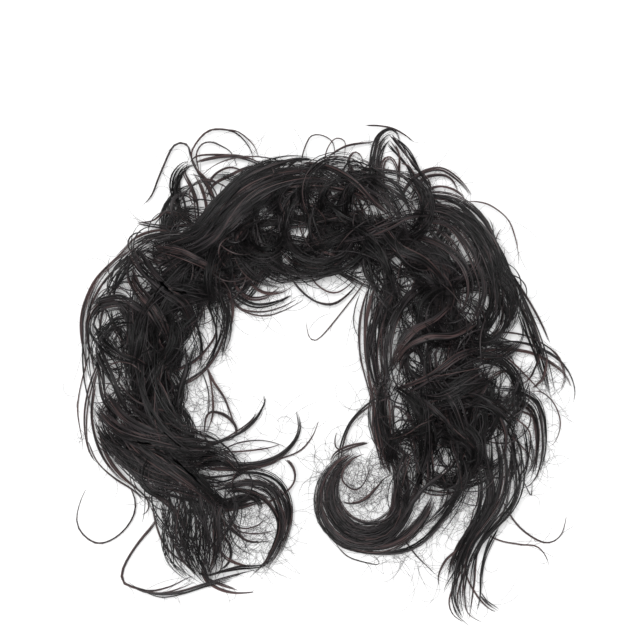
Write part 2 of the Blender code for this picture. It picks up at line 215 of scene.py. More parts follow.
# The sleeve of strands that hides the cord
SLEEVE_STRANDS = 52
SLEEVE_REACHES = (0.08, 0.2)
SLEEVE_RADII = (1.5, 8.0)
SLEEVE_WAVES = (2, 7)

# Loose fuzz that leaves other strands, and nests of it. Leans and bends are in radians.
FUZZ_LEAN = 0.5
FUZZ_BEND = 1.6
FUZZ_LENGTHS = (6, 30)
FUZZ_DROPS = (0.1, 1.0)
NEST_LENGTHS = (10.0, 40.0)
NEST_TURNS = (20.0, 200.0)
NEST_HEIGHTS = (1.0, 18.0)

# Heights of a curl above the table at its root, its middle and its tip
Layer = namedtuple("Layer", "root middle tip")
FLOOR = Layer(12, 5, 2)
LOW = Layer(20, 15, 6)
MID = Layer(26, 31, 20)
TOP = Layer(32, 44, 35)
MASS_LAYERS = [Layer(10, 5, 3), Layer(12, 12, 8), Layer(18, 22, 12), Layer(24, 34, 22), Layer(30, 42, 32)]

# Curls that follow the photograph: the layer, the width of the whole curl in pixels, and then the X and Y of
# each point from root to tip, in pixels. The wider a curl is, the more strands it gets.
THIN_CURL = 4
CURL_EXTRA_WIDTH = 1.2
CURL_FIRST_STRANDS = 1.9
CURL_STRANDS_PER_SQUARE = 0.12
LEFT_CURLS = [
    # Outer edge
    (LOW, 4, 139,235, 119,256, 99,276, 89,294, 82,315, 81,337, 85,360, 87,390),
    (LOW, 4, 150,243, 123,262, 105,280, 94,298, 87,317, 87,339, 92,360, 96,389),
    (LOW, 3, 160,255, 130,270, 112,290, 102,315, 100,340, 104,365, 112,390),
    (FLOOR, 2, 92,345, 84,370, 78,395, 77,415, 82,441, 83,455),
    (FLOOR, 3, 105,350, 93,380, 87,405, 86,430, 90,452, 100,467),
    (LOW, 4, 98,370, 92,395, 91,420, 99,450, 114,473, 132,488),
    (LOW, 4, 96,420, 106,455, 122,477, 140,492, 156,506),
    (LOW, 3, 87,440, 97,462, 114,479, 137,494, 150,512),
    (FLOOR, 2, 118,474, 128,486, 134,500, 133,514, 125,528, 112,539, 97,543, 83,534, 77,521, 80,504, 87,488,
     96,472),
    (FLOOR, 2, 130,485, 142,495, 148,504, 146,512, 140,515),
    (FLOOR, 4, 162,500, 155,522, 140,541, 128,559, 122,573, 124,583, 137,588, 150,591, 171,586, 189,577,
     203,574),
    (FLOOR, 2, 128,584, 145,592, 162,593, 182,587, 203,578),
    # Strands that fall to its end
    (LOW, 4, 152,500, 157,522, 163,540, 172,553, 186,564, 201,575),
    (LOW, 3, 160,500, 168,527, 176,548, 188,566, 203,577),
    (LOW, 3, 168,495, 176,520, 183,545, 193,570),
    (LOW, 5, 180,480, 185,512, 184,540, 187,560, 196,576),
    (MID, 5, 188,480, 195,515, 197,541, 200,560, 204,576),
    (MID, 7, 195,480, 204,515, 209,541, 210,560, 205,577),
    (MID, 7, 205,480, 216,510, 217,535, 215,560, 206,578),
    (LOW, 6, 165,470, 190,500, 208,530, 214,555, 208,575),
    (FLOOR, 3, 206,550, 204,575, 216,587, 235,593, 256,592),
    (FLOOR, 3, 200,560, 206,577, 222,585, 240,591),
    (LOW, 5, 196,570, 206,576, 222,572, 240,568, 263,566, 274,556),
    (LOW, 3, 215,545, 225,558, 240,565, 258,567),
    (LOW, 6, 205,505, 222,522, 235,533, 250,542, 271,541),
    (LOW, 5, 210,520, 222,535, 230,548, 228,562, 215,574),
    (LOW, 2, 225,515, 240,527, 256,525, 274,513),
    (LOW, 2, 228,520, 240,532, 258,534, 276,530),
    # The thick curl at its end
    (LOW, 7, 205,490, 231,484, 253,482, 271,486, 285,497, 290,511, 287,526, 281,541, 271,560, 253,582),
    (LOW, 6, 215,492, 240,490, 262,497, 275,511, 280,525, 276,542, 265,563, 249,583),
    (LOW, 4, 280,455, 291,466, 294,478, 288,489, 272,500, 250,505),
    (LOW, 9, 195,490, 221,502, 240,499, 257,495, 275,499),
    (LOW, 8, 190,500, 215,508, 238,507, 258,502, 270,496),
    (LOW, 3, 275,500, 283,515, 284,530, 278,545),
    # Tips that turn into the loop
    (LOW, 6, 195,450, 221,442, 240,434, 254,422, 262,409, 265,399, 258,390),
    (LOW, 4, 200,445, 222,441, 240,431, 252,420, 261,405),
    (LOW, 2, 205,456, 224,449, 240,443, 262,441, 281,445, 290,451),
    (LOW, 2, 210,452, 231,453, 248,452, 266,449, 281,444, 290,437),
    (LOW, 8, 190,466, 221,463, 240,465, 262,463, 280,456, 294,443, 300,428, 297,409),
    (LOW, 4, 200,470, 225,470, 250,468, 275,462, 290,450, 296,438),
    (FLOOR, 2, 262,464, 281,459, 301,451, 313,437, 319,421),
    (LOW, 5, 190,480, 215,480, 235,476, 250,468, 260,465),
    (LOW, 3, 204,440, 208,415, 221,414, 231,421, 236,430, 232,438, 222,442),
    (LOW, 3, 206,362, 213,380, 224,398, 231,415, 236,428),
    (LOW, 3, 204,362, 209,380, 212,398, 212,415, 207,431),
    (LOW, 2, 200,365, 207,385, 209,402, 207,425),
    # Brushed mass on top
    (TOP, 14, 92,400, 112,425, 140,440, 175,446, 215,449),
    (TOP, 12, 100,385, 122,412, 150,430, 185,438, 220,442),
    (MID, 14, 95,425, 120,453, 155,463, 190,464, 225,461),
    (MID, 12, 105,440, 130,466, 160,476, 195,478, 230,484),
    (TOP, 12, 115,420, 145,450, 175,470, 200,490, 222,512),
    (MID, 10, 120,450, 150,478, 180,492, 212,500, 240,500),
    (MID, 10, 125,465, 150,490, 175,510, 192,540),
    (MID, 12, 110,405, 135,432, 165,460, 190,485, 205,520),
    (TOP, 5, 140,362, 160,382, 171,402, 180,420, 195,436),
    (TOP, 3, 112,372, 122,388, 134,400, 150,408, 168,413, 182,425),
    (TOP, 8, 89,321, 101,342, 119,356, 140,364, 160,378),
    (TOP, 7, 92,335, 103,358, 113,380, 122,402, 140,425),
    (MID, 8, 95,350, 100,375, 104,400, 118,430),
    (TOP, 6, 90,306, 106,299, 122,298, 137,308, 149,318, 155,335),
    (MID, 8, 88,320, 98,306, 114,302, 128,315, 138,342, 140,370),
    (MID, 7, 119,298, 131,321, 139,345, 138,372, 130,395),
    (TOP, 12, 128,262, 135,285, 150,305, 165,330, 172,355),
    (TOP, 14, 130,245, 145,268, 165,288, 185,305, 195,330),
    (MID, 12, 150,240, 170,262, 190,283, 208,300),
    # Arcs on its inner side
    (LOW, 5, 189,275, 203,295, 212,315, 217,335, 214,353, 205,370),
    (LOW, 5, 198,272, 214,288, 225,303, 228,320, 224,340, 216,358, 205,373),
    (LOW, 4, 205,270, 222,285, 231,302, 231,322, 226,342),
    (LOW, 5, 174,283, 188,303, 197,328, 201,351, 197,374),
    (MID, 5, 160,292, 171,313, 178,339, 179,360, 174,380),
    (MID, 6, 146,308, 155,333, 160,355, 166,376, 176,398),
    (LOW, 4, 165,372, 182,367, 200,356, 214,338, 218,320),
    (LOW, 4, 175,385, 190,380, 206,368, 219,349, 225,330),
    (LOW, 5, 150,385, 168,388, 185,382, 198,372),
    (MID, 5, 185,345, 186,368, 180,390, 178,410, 186,432),
]
CROWN_CURLS = [
    # Loops above its left half
    (LOW, 3, 212,190, 199,172, 191,155, 189,146, 181,142, 172,147, 164,164, 157,181, 151,196, 137,212),
    (LOW, 3, 222,200, 208,181, 196,169, 191,155, 197,142, 208,131, 221,129, 235,132, 246,142, 253,155,
     253,171),
    (LOW, 1, 222,129, 239,132, 253,144, 259,158),
    (LOW, 2, 200,175, 196,156, 201,145, 210,142, 221,146, 231,153, 237,167),
    (LOW, 3, 190,170, 197,162, 217,157, 235,156, 251,160, 271,169, 285,171),
    (LOW, 3, 188,165, 196,156, 212,154, 230,155, 249,158, 262,163),
    (LOW, 3, 205,195, 210,181, 218,172, 231,167, 246,172, 256,178),
    (LOW, 4, 206,200, 214,185, 230,176, 249,168, 272,167, 292,172),
    (LOW, 5, 185,215, 176,203, 171,187, 174,173, 184,163, 192,164),
    (LOW, 3, 186,222, 184,202, 178,188, 174,176),
    (LOW, 4, 198,226, 195,202, 189,185, 184,172, 190,163),
    (LOW, 4, 208,222, 206,200, 201,185, 192,170),
    (LOW, 4, 218,215, 210,190, 198,172, 191,157),
    (MID, 4, 180,225, 172,210, 175,198, 186,195, 198,205),
    (LOW, 4, 200,228, 180,216, 166,212, 152,221, 135,223),
    (LOW, 5, 215,235, 192,226, 168,227, 149,225, 134,222),
    (LOW, 4, 210,240, 185,234, 160,230, 137,237, 122,250, 114,257),
    (MID, 8, 230,245, 200,240, 170,236, 143,240, 123,254),
    # Brushed mass on top
    (TOP, 8, 176,238, 196,226, 217,203, 239,182, 265,169, 300,159, 330,163),
    (TOP, 14, 185,245, 205,228, 228,203, 255,184, 290,172, 330,172),
    (TOP, 14, 195,255, 218,232, 242,207, 272,188, 308,180, 350,184),
    (TOP, 12, 175,262, 200,246, 228,228, 252,205, 285,190),
    (MID, 12, 200,275, 222,255, 240,230, 262,212),
    (MID, 10, 250,200, 285,190, 320,188, 355,195, 385,210),
    (TOP, 8, 300,165, 330,170, 355,185, 375,205, 395,220),
    (MID, 8, 320,195, 340,210, 365,222, 395,225),
    (MID, 12, 140,250, 165,258, 190,268, 212,282),
    (TOP, 12, 150,246, 180,250, 205,262, 225,280),
    # Nested arcs in its middle and on its inner edge
    (MID, 5, 256,212, 262,238, 271,256, 287,266, 305,266),
    (LOW, 5, 248,228, 253,257, 265,274, 282,282, 300,280),
    (LOW, 4, 238,250, 248,279, 262,292, 281,292, 296,283),
    (LOW, 4, 232,262, 236,286, 249,298, 266,297, 281,287),
    (LOW, 6, 221,268, 231,290, 252,304, 275,302, 300,290),
    (FLOOR, 2, 224,280, 236,306, 256,315, 274,314, 296,304, 310,295),
    (FLOOR, 2, 226,290, 240,308, 260,312, 280,308, 300,298),
    (MID, 4, 283,208, 279,228, 288,245, 306,251, 323,242),
    (MID, 4, 280,214, 296,204, 314,206, 326,220, 322,238),
    (LOW, 1.5, 300,212, 299,226, 305,243),
    (MID, 6, 312,240, 325,252, 345,255, 362,245),
    (MID, 6, 288,258, 310,264, 335,262, 355,250),
    (MID, 6, 300,270, 322,272, 345,266, 362,252),
    (LOW, 5, 275,282, 300,278, 325,276, 350,270),
    (LOW, 5, 285,262, 298,285, 315,300, 334,303, 352,289, 361,275),
    (LOW, 2, 305,262, 313,280, 325,290, 338,292, 352,282, 358,270),
    (FLOOR, 1, 372,270, 363,284, 342,311, 320,337, 311,339, 307,326, 308,303),
    (LOW, 2, 300,172, 302,156, 306,143, 311,135, 321,134, 331,139, 335,147, 335,164),
    (LOW, 2, 326,175, 325,160, 329,147, 336,139, 344,141, 345,149, 343,168),
    (LOW, 3, 325,158, 342,148, 357,144, 371,142, 380,138),
    (LOW, 4, 370,195, 355,174, 348,162, 354,152, 361,156, 365,170),
    (MID, 5, 350,195, 345,178, 350,165, 360,165, 368,178),
    # Arch and arcs above its right half
    (MID, 7, 378,215, 371,190, 370,160, 375,139, 383,130, 392,128, 399,135, 401,147),
    (MID, 6, 388,215, 378,190, 376,167, 378,149, 386,137, 395,138),
    (LOW, 4, 395,215, 385,195, 381,175, 384,160, 392,158, 398,172, 400,190),
    (LOW, 3, 391,140, 399,154, 399,173, 396,195),
    (MID, 4, 388,132, 399,146, 411,162, 422,176, 434,194),
    (LOW, 2, 396,162, 409,165, 417,177, 423,194),
    (LOW, 2, 359,125, 377,125, 392,128, 405,135, 415,143),
    (LOW, 4, 398,208, 404,191, 413,179, 426,171, 442,169, 457,178, 468,190, 476,206),
    (LOW, 3, 408,205, 415,190, 425,178, 442,175, 453,181, 459,197),
    (LOW, 3, 420,200, 430,190, 444,187, 458,192, 470,204),
    (TOP, 12, 375,205, 385,230, 402,250, 425,262, 448,285),
    (MID, 10, 372,220, 376,248, 392,268, 418,280),
    (TOP, 10, 360,235, 385,225, 410,215, 440,215),
]
RIGHT_CURLS = [
    # Outer edge
    (LOW, 2, 462,203, 476,202, 491,206, 507,219, 514,236, 518,259, 516,280),
    (LOW, 1, 498,255, 495,243, 499,232, 505,226),
    (MID, 8, 400,205, 434,195, 463,202, 484,221, 496,245, 509,270, 514,288, 511,304, 502,326),
    (MID, 9, 405,212, 440,207, 466,219, 485,243, 497,270, 503,297, 492,328),
    (TOP, 10, 410,220, 445,222, 466,242, 479,267, 484,292, 474,320, 460,338),
    (TOP, 9, 405,235, 438,245, 459,261, 469,282, 467,302, 452,324),
    (MID, 8, 400,245, 425,262, 445,280, 452,300, 440,322),
    (LOW, 7, 500,262, 509,278, 514,300, 507,322, 497,340),
    (LOW, 4, 505,262, 516,280, 530,301, 542,322, 552,348),
    (LOW, 7, 500,270, 513,290, 526,316, 540,343),
    (LOW, 5, 450,352, 470,347, 491,345, 512,343, 533,347, 554,357, 568,372, 575,391, 572,408),
    (LOW, 3, 485,338, 503,334, 526,337, 549,349, 560,362, 564,380, 557,393, 541,397),
    (LOW, 3, 470,352, 500,350, 528,352, 550,362, 566,376, 574,396),
    (LOW, 4, 478,350, 493,355, 507,366, 513,383, 508,398),
    (LOW, 3, 485,385, 495,374, 508,371, 516,382, 511,395, 497,397, 488,388),
    (LOW, 3, 540,352, 538,362, 530,378, 515,388),
    (LOW, 4, 548,355, 548,366, 543,380, 530,390),
    (LOW, 2, 500,352, 518,368, 535,386, 546,398),
    (LOW, 5, 490,402, 507,400, 525,393, 537,402, 542,418, 543,447, 539,471, 530,486, 519,489),
    (LOW, 4, 495,412, 515,405, 530,410, 537,430, 537,455, 532,478),
    (LOW, 3, 485,418, 500,412, 520,412, 533,418, 538,426, 530,430),
    (LOW, 2, 485,422, 497,427, 511,437, 521,447, 530,459, 532,474),
    (LOW, 2, 505,412, 518,421, 529,433, 528,454, 526,474),
    (LOW, 1.5, 528,392, 541,392, 554,404, 560,424, 554,443, 543,448),
    (LOW, 1, 522,478, 531,496, 533,478),
    # Its end
    (MID, 9, 495,410, 486,428, 484,447, 488,469, 493,492, 487,515, 468,542, 454,561, 442,581),
    (MID, 9, 490,420, 500,450, 503,477, 498,502, 484,524, 468,547, 463,571, 461,596, 466,622),
    (LOW, 6, 500,430, 515,458, 520,485, 510,508, 492,530, 478,553, 472,578, 470,604, 467,622),
    (MID, 7, 470,440, 480,465, 484,490, 480,515, 465,540, 455,565, 452,590),
    (LOW, 3, 475,530, 458,549, 445,561, 438,577, 441,594),
    (LOW, 5, 485,520, 468,545, 456,566, 446,584, 443,593),
    (FLOOR, 2, 472,545, 466,561, 457,579, 449,600, 453,615, 466,624),
    (FLOOR, 2, 470,560, 462,580, 458,600, 462,618),
    (FLOOR, 3, 478,540, 475,562, 474,585, 471,605, 468,620),
    (FLOOR, 2, 466,560, 468,577, 478,596, 490,609, 500,613),
    (FLOOR, 1, 464,570, 465,600, 470,615, 491,626),
    (FLOOR, 2, 502,495, 507,508, 520,527, 538,540, 551,542, 562,532, 568,504),
    (FLOOR, 2, 475,522, 484,531, 499,540, 520,544, 537,546, 547,558, 551,577),
    (LOW, 2, 470,455, 473,468, 478,485, 476,504, 467,520),
    (LOW, 3, 458,440, 463,462, 463,486, 455,508),
    (LOW, 2, 440,470, 447,485, 447,500, 438,515),
    (LOW, 2, 425,488, 440,492, 458,491, 475,486),
    # The ring curl at its end
    (LOW, 7, 459,445, 462,470, 460,490, 446,515, 427,538, 407,550, 384,553, 357,551, 334,541, 322,521),
    (LOW, 16, 394,455, 399,480, 398,506, 388,527, 366,535, 345,526, 332,507, 331,487, 342,468, 362,453),
    (LOW, 12, 420,470, 412,500, 400,525, 380,542, 355,543, 334,530, 323,508, 324,486, 335,466, 353,451),
    (LOW, 12, 435,490, 425,515, 405,537, 380,547, 352,545, 332,533, 321,512),
    (MID, 5, 398,485, 395,510, 383,521, 367,523, 352,517, 341,503, 340,488),
    (LOW, 3, 352,452, 336,462, 325,478, 319,497, 318,512),
    (LOW, 3, 372,442, 350,447, 335,455, 329,470),
    (LOW, 2, 345,452, 336,448, 334,438, 338,428),
    (LOW, 2, 372,452, 357,457, 346,466, 342,478, 347,486, 357,490, 366,480, 371,462),
    (LOW, 3, 338,500, 350,503, 364,499, 376,488, 385,478, 395,474),
    (FLOOR, 1, 335,542, 341,551, 352,559, 376,565, 379,561, 371,553),
    (FLOOR, 2, 400,530, 406,541, 416,555, 430,569, 440,579),
    (TOP, 6, 467,438, 450,468, 425,489, 408,511, 393,534, 378,549),
    (LOW, 5, 392,395, 371,404, 353,421, 344,440, 340,458, 337,472),
    # Inner edge
    (LOW, 8, 392,275, 384,299, 375,322, 368,343, 371,365, 377,388, 388,405),
    (LOW, 3, 370,282, 362,310, 360,335, 361,358, 367,384, 373,408),
    (LOW, 3, 378,278, 368,305, 364,335, 366,362, 372,385),
    (LOW, 1, 362,290, 355,308, 354,325, 360,340),
    (LOW, 3, 366,365, 371,389, 374,408, 374,428, 378,448, 383,466, 393,484),
    (LOW, 3, 372,380, 378,400, 379,425, 383,450, 389,470, 398,485),
    (LOW, 4, 378,375, 385,395, 385,420, 389,447, 393,466, 402,482),
    (LOW, 3, 388,390, 392,410, 392,435, 398,458, 408,475),
    (LOW, 6, 373,225, 368,245, 372,268, 384,285, 392,300),
    (LOW, 5, 362,262, 370,280, 382,292, 396,292),
    # Brushed mass and nested arcs
    (TOP, 10, 430,285, 410,295, 395,318, 388,345, 390,375, 400,398),
    (TOP, 10, 455,300, 435,318, 412,330, 396,352, 390,380),
    (TOP, 9, 480,320, 455,335, 428,338, 405,350, 393,372),
    (MID, 8, 395,268, 420,262, 445,268, 460,285),
    (MID, 8, 388,282, 405,275, 425,280, 440,296, 445,318),
    (MID, 4, 392,345, 406,345, 418,352, 425,368),
    (MID, 4, 400,372, 403,358, 412,350, 422,348),
    (MID, 4, 424,345, 428,358, 430,375),
    (MID, 4, 440,340, 436,356, 440,375, 450,388),
    (MID, 4, 452,340, 450,358, 455,372, 466,380),
    (MID, 4, 468,345, 456,352, 450,366, 455,382),
    (TOP, 10, 392,392, 412,384, 435,372, 460,355, 488,345),
    (TOP, 12, 425,365, 440,385, 455,405, 465,430, 468,448),
    (TOP, 10, 405,395, 425,405, 445,420, 460,440),
    (MID, 10, 475,360, 472,385, 478,405, 470,430),
    (MID, 10, 490,370, 480,390, 470,412, 465,440),
    (MID, 8, 455,395, 475,402, 495,402, 510,405),
    (MID, 3, 388,405, 400,408, 412,420, 418,438),
    (MID, 3, 392,425, 402,420, 415,425, 428,436),
    (MID, 3, 395,440, 403,430, 412,415, 425,408),
    (MID, 3, 398,455, 400,440, 408,432, 418,438, 420,455),
    (LOW, 5, 402,445, 405,465, 408,490, 402,515),
    (MID, 8, 412,430, 418,455, 420,480, 412,508),
    (MID, 8, 428,425, 430,450, 432,475, 425,500),
    (MID, 6, 480,400, 475,425, 465,450, 458,470),
    (MID, 8, 470,395, 495,415, 505,440, 500,470),
]

# Fans are broad sweeps of hair: the layer, the number of strands, and then a first and a last line in pixels,
# from root to tip, which the strands lie between
LEFT_FANS = [
    # Brushed down its outer side, into its middle, and fanned out at its end
    (MID, 60, [125,258, 160,255, 195,268, 222,292, 232,325, 226,360],
     [118,285, 140,285, 165,300, 185,325, 195,360, 190,395]),
    (MID, 60, [110,300, 130,320, 150,345, 172,375, 190,400], [90,330, 100,362, 118,388, 145,412, 170,430]),
    (MID, 50, [86,350, 85,322, 95,303, 118,297, 142,305, 158,330, 165,365],
     [100,352, 98,330, 106,316, 122,312, 136,320, 146,345, 150,375]),
    (MID, 24, [95,300, 108,318, 118,340, 122,365], [120,292, 128,315, 132,340, 134,368]),
    (MID, 54, [97,300, 103,280, 115,262, 132,246, 152,236], [118,306, 122,290, 130,275, 144,262, 162,252]),
    (LOW, 28, [226,285, 231,310, 230,335, 222,360, 212,375], [212,290, 216,315, 213,340, 204,362, 194,380]),
    (LOW, 24, [122,578, 140,590, 170,592, 200,584, 235,573, 265,566],
     [140,590, 160,597, 185,594, 210,586, 240,578, 262,572]),
    (LOW, 20, [128,250, 104,278, 94,305, 90,335, 92,365, 100,395, 112,425],
     [112,262, 92,287, 82,312, 81,340, 82,368, 88,398, 98,430]),
    (TOP, 120, [110,385, 150,405, 190,425, 225,440, 252,455], [86,412, 103,448, 135,475, 175,492, 215,502]),
    (TOP, 50, [150,300, 160,340, 165,380, 180,415, 210,440, 245,445],
     [120,320, 132,360, 140,400, 160,435, 190,460, 225,475]),
    (MID, 140, [150,462, 157,500, 160,530, 172,560, 192,580, 212,590],
     [222,470, 238,495, 240,525, 230,552, 222,574, 210,588]),
    (LOW, 95, [190,470, 205,505, 215,540, 235,560, 262,566], [228,480, 240,505, 252,530, 266,548, 280,556]),
    (LOW, 46, [215,476, 245,469, 275,477, 291,500, 291,530, 278,560, 254,586],
     [220,492, 245,485, 266,492, 276,512, 277,535, 266,558, 248,576]),
    (MID, 30, [222,498, 240,486, 258,486, 270,499, 268,515],
     [226,514, 240,503, 252,503, 258,510, 255,520]),
]
CROWN_FANS = [
    # Swept along the cord, with curls down into the loop
    (TOP, 110, [122,262, 150,240, 190,228, 215,200, 245,172, 285,158, 335,160],
     [150,290, 180,264, 215,246, 240,215, 270,194, 305,182, 350,185]),
    (MID, 60, [235,190, 228,225, 235,258, 258,285, 290,292, 318,280],
     [262,200, 258,228, 265,250, 280,265, 298,268, 315,258]),
    (MID, 60, [330,174, 300,184, 284,205, 282,232, 294,255, 315,268],
     [340,195, 320,203, 310,220, 311,240, 322,252, 340,262]),
    (MID, 60, [345,165, 318,172, 290,185, 270,205, 262,232, 272,255],
     [350,200, 330,205, 318,215, 320,235, 322,255, 310,270]),
    (MID, 60, [235,212, 262,196, 290,188, 322,190], [242,238, 266,224, 290,212, 322,212]),
    (LOW, 30, [180,232, 172,205, 172,180, 182,165, 200,160], [200,222, 192,203, 188,186, 195,172, 208,168]),
    (MID, 50, [325,180, 345,205, 352,235, 345,262, 325,280],
     [365,180, 378,210, 380,240, 372,265, 358,285]),
    (TOP, 70, [330,160, 365,158, 400,170, 425,195, 435,225], [335,190, 362,195, 385,210, 398,232, 400,258]),
    (LOW, 28, [371,195, 369,170, 373,148, 383,131, 397,129], [385,195, 381,172, 383,155, 389,143, 399,138]),
]
RIGHT_FANS = [
    # Arched over its outer side, down its inner edge, and into the ring curl and the tail
    (TOP, 110, [400,200, 438,196, 472,211, 496,240, 509,278, 510,315, 501,345],
     [395,235, 425,225, 455,235, 475,262, 482,295, 478,325, 465,350]),
    (MID, 80, [375,215, 415,218, 450,238, 468,275, 465,315, 450,345],
     [365,240, 395,245, 420,262, 432,290, 428,320, 412,345]),
    (LOW, 70, [378,262, 368,290, 362,320, 361,350, 366,380, 374,405],
     [405,270, 395,300, 388,330, 386,360, 392,390, 400,410]),
    (LOW, 60, [371,375, 371,400, 374,425, 379,450, 386,475, 393,495],
     [392,372, 390,400, 392,425, 397,450, 403,475, 408,495]),
    (TOP, 70, [400,375, 440,372, 480,360, 515,350], [405,410, 440,415, 475,400, 505,385]),
    (MID, 70, [500,345, 490,375, 478,405, 470,435, 470,465],
     [530,365, 525,395, 515,420, 505,445, 500,470]),
    (TOP, 56, [400,430, 397,462, 398,490, 392,518], [442,430, 444,462, 438,490, 424,520]),
    (MID, 34, [452,450, 455,480, 448,505, 432,525, 412,540],
     [467,450, 467,485, 458,512, 440,535, 418,550]),
    (LOW, 120, [430,470, 424,500, 405,534, 378,551, 345,548, 322,525, 315,495, 324,468, 345,450, 365,442],
     [398,470, 397,495, 388,514, 372,523, 355,518, 344,503, 341,487, 346,468, 358,456, 372,448]),
    (LOW, 20, [392,129, 406,142, 419,160, 431,178, 446,191], [386,141, 396,153, 407,169, 418,185, 430,197]),
    (TOP, 40, [440,420, 442,450, 446,480, 440,505, 425,530], [478,425, 480,455, 476,480, 462,505, 440,530]),
    (LOW, 40, [512,272, 525,300, 539,335, 550,368, 557,398], [514,298, 522,322, 531,348, 540,374, 549,400]),
    (LOW, 34, [480,385, 515,386, 540,400, 547,430, 545,462, 534,495],
     [485,398, 512,400, 530,412, 537,435, 536,462, 528,488]),
    (MID, 36, [468,435, 466,465, 452,492, 430,515, 405,535],
     [480,445, 476,475, 462,502, 440,528, 412,548]),
    (LOW, 34, [531,420, 535,440, 533,462, 526,480, 514,498], [506,420, 511,440, 512,460, 508,478, 498,492]),
    (LOW, 30, [472,498, 463,525, 448,548, 440,570, 439,593], [482,503, 475,528, 463,548, 452,568, 446,590]),
    (LOW, 14, [496,520, 484,545, 478,572, 477,598, 470,622], [504,520, 491,545, 483,572, 481,598, 476,620]),
    (LOW, 9, [474,590, 484,603, 501,614], [478,588, 488,600, 503,612]),
    (LOW, 12, [455,565, 449,590, 453,612, 470,630], [460,568, 455,592, 460,612, 474,628]),
    (MID, 50, [482,425, 484,450, 483,480, 478,510, 465,540, 455,570, 450,598, 462,618],
     [512,425, 519,455, 520,485, 510,512, 490,535, 473,560, 467,590, 468,620]),
]

# The three lengths of hair: the stations where they start and end, and how much of each kind they get
Hair = namedtuple("Hair", "name first_station last_station mass_locks tangles fuzz curls fans")
HAIRS = [
    Hair("left", 0.0, 0.3, 72, 90, 900, LEFT_CURLS, LEFT_FANS),
    Hair("crown", 0.3, 0.64, 72, 110, 700, CROWN_CURLS, CROWN_FANS),
    Hair("right", 0.64, 1.0, 78, 110, 1200, RIGHT_CURLS, RIGHT_FANS),
]

# Nests of fine loose hair inside curls and gaps: their length of hair, middle and radius in pixels, and
# number of strands
NESTS = [
    ("left", 255,530, 27, 150), ("left", 205,405, 20, 80), ("left", 180,330, 30, 50),
    ("left", 275,425, 26, 12), ("left", 225,480, 40, 60), ("crown", 300,228, 18, 50),
    ("crown", 265,290, 18, 30), ("right", 367,488, 27, 170), ("right", 330,470, 18, 40),
    ("right", 452,505, 28, 170), ("right", 528,455, 24, 90), ("right", 447,457, 14, 40),
    ("right", 412,318, 24, 50), ("right", 408,548, 26, 60), ("right", 535,385, 24, 60),
    ("right", 366,425, 20, 20),
]

# Places where the table shows through the hair: their middle, and half their width and height, in pixels.
# A few strands cross them all the same.
SLOTS = [
    (300,228, 9,8), (272,222, 4,9), (262,214, 3,5), (312,203, 5,3), (335,189, 4,3), (356,246, 5,3),
    (345,262, 5,3), (395,262, 7,4), (470,255, 4,6), (158,310, 3,7), (166,340, 4,6), (192,308, 3,9),
    (205,350, 4,8), (265,290, 10,4), (335,283, 16,6), (178,315, 3,9), (208,320, 4,10), (190,345, 5,7),
    (106,282, 6,8), (101,321, 5,5), (94,350, 4,5), (97,372, 5,6), (196,403, 11,22), (255,521, 17,10),
    (248,556, 20,9), (396,338, 4,11), (408,312, 6,9), (414,358, 6,7), (435,355, 5,6), (378,274, 5,10),
    (466,248, 7,6), (396,415, 9,6), (447,457, 6,9), (426,505, 8,11), (457,516, 14,18), (502,382, 6,5),
    (367,488, 27,27),
]
SLOT_CROSSING = 0.12


def unit(vectors):
    return vectors / np.maximum(np.linalg.norm(vectors, axis=-1, keepdims=True), 1e-9)


def smooth_line(corners, steps):
    """Evenly spaced points on a smooth curve through the corners."""
    corners = np.asarray(corners, float)
    padded = np.vstack([2 * corners[0] - corners[1], corners, 2 * corners[-1] - corners[-2]])
    t = np.linspace(0, 1, SPAN_STEPS, endpoint=False)[:, None]
    spans = []
    for before, start, end, after in zip(padded, padded[1:], padded[2:], padded[3:]):
        spans.append(
            0.5 * (2 * start + (end - before) * t + (2 * before - 5 * start + 4 * end - after) * t**2
                   + (3 * start - before - 3 * end + after) * t**3)
        )
    points = np.vstack([*spans, corners[-1:]])
    lengths = np.concatenate([[0], np.cumsum(np.linalg.norm(np.diff(points, axis=0), axis=1))])
    wanted = np.linspace(0, lengths[-1], steps + 1)
    return np.column_stack([np.interp(wanted, lengths, column) for column in points.T])


def route_line():
    """The cord's line in plan, before the CAD model's origin is set."""
    corners = []
    for angle_deg, radius_share in ROUTE:
        angle = math.radians(angle_deg)
        corners.append((math.cos(angle) * radius_share, math.sin(angle) * radius_share))
    return smooth_line(np.array(corners) * LOOP_RADIUS, ROUTE_STEPS)


def origin_shift(route):
    """Where the CAD model puts the middle of the loop."""
    low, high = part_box("core_cord")
    length = np.linalg.norm(np.diff(route, axis=0), axis=1).sum()
    covered = round(CORD_COVERED / length * ROUTE_STEPS)
    seen = route[covered:len(route) - covered]
    return np.array((
        (low.x + high.x) / 2 / MM - (seen[:, 0].min() + seen[:, 0].max()) / 2,
        high.y / MM - seen[:, 1].max() - CORD_RADIUS,
    ))


SHIFT = origin_shift(route_line())
ROUTE_LINE = route_line() + SHIFT
ROUTE_ANGLES = np.arctan2(*np.gradient(ROUTE_LINE, axis=0).T[::-1])


def on_route(spots):
    """Places in plan on the cord's line, from a spot or an array of spots along it."""
    return np.stack([np.interp(spots, range(ROUTE_STEPS + 1), column) for column in ROUTE_LINE.T], axis=-1)


def from_pixels(points):
    """Places in plan, in the CAD model's frame, of pixels of the photograph."""
    offsets = (np.asarray(points, float) - LOOP_PIXEL) * PIXEL
    return SHIFT + offsets * (1, -1)


def pixel_line(numbers):
    """A smooth line in plan through pixels, given as X, Y, X, Y and so on."""
    return smooth_line(from_pixels(np.reshape(numbers, (-1, 2))), LINE_STEPS)


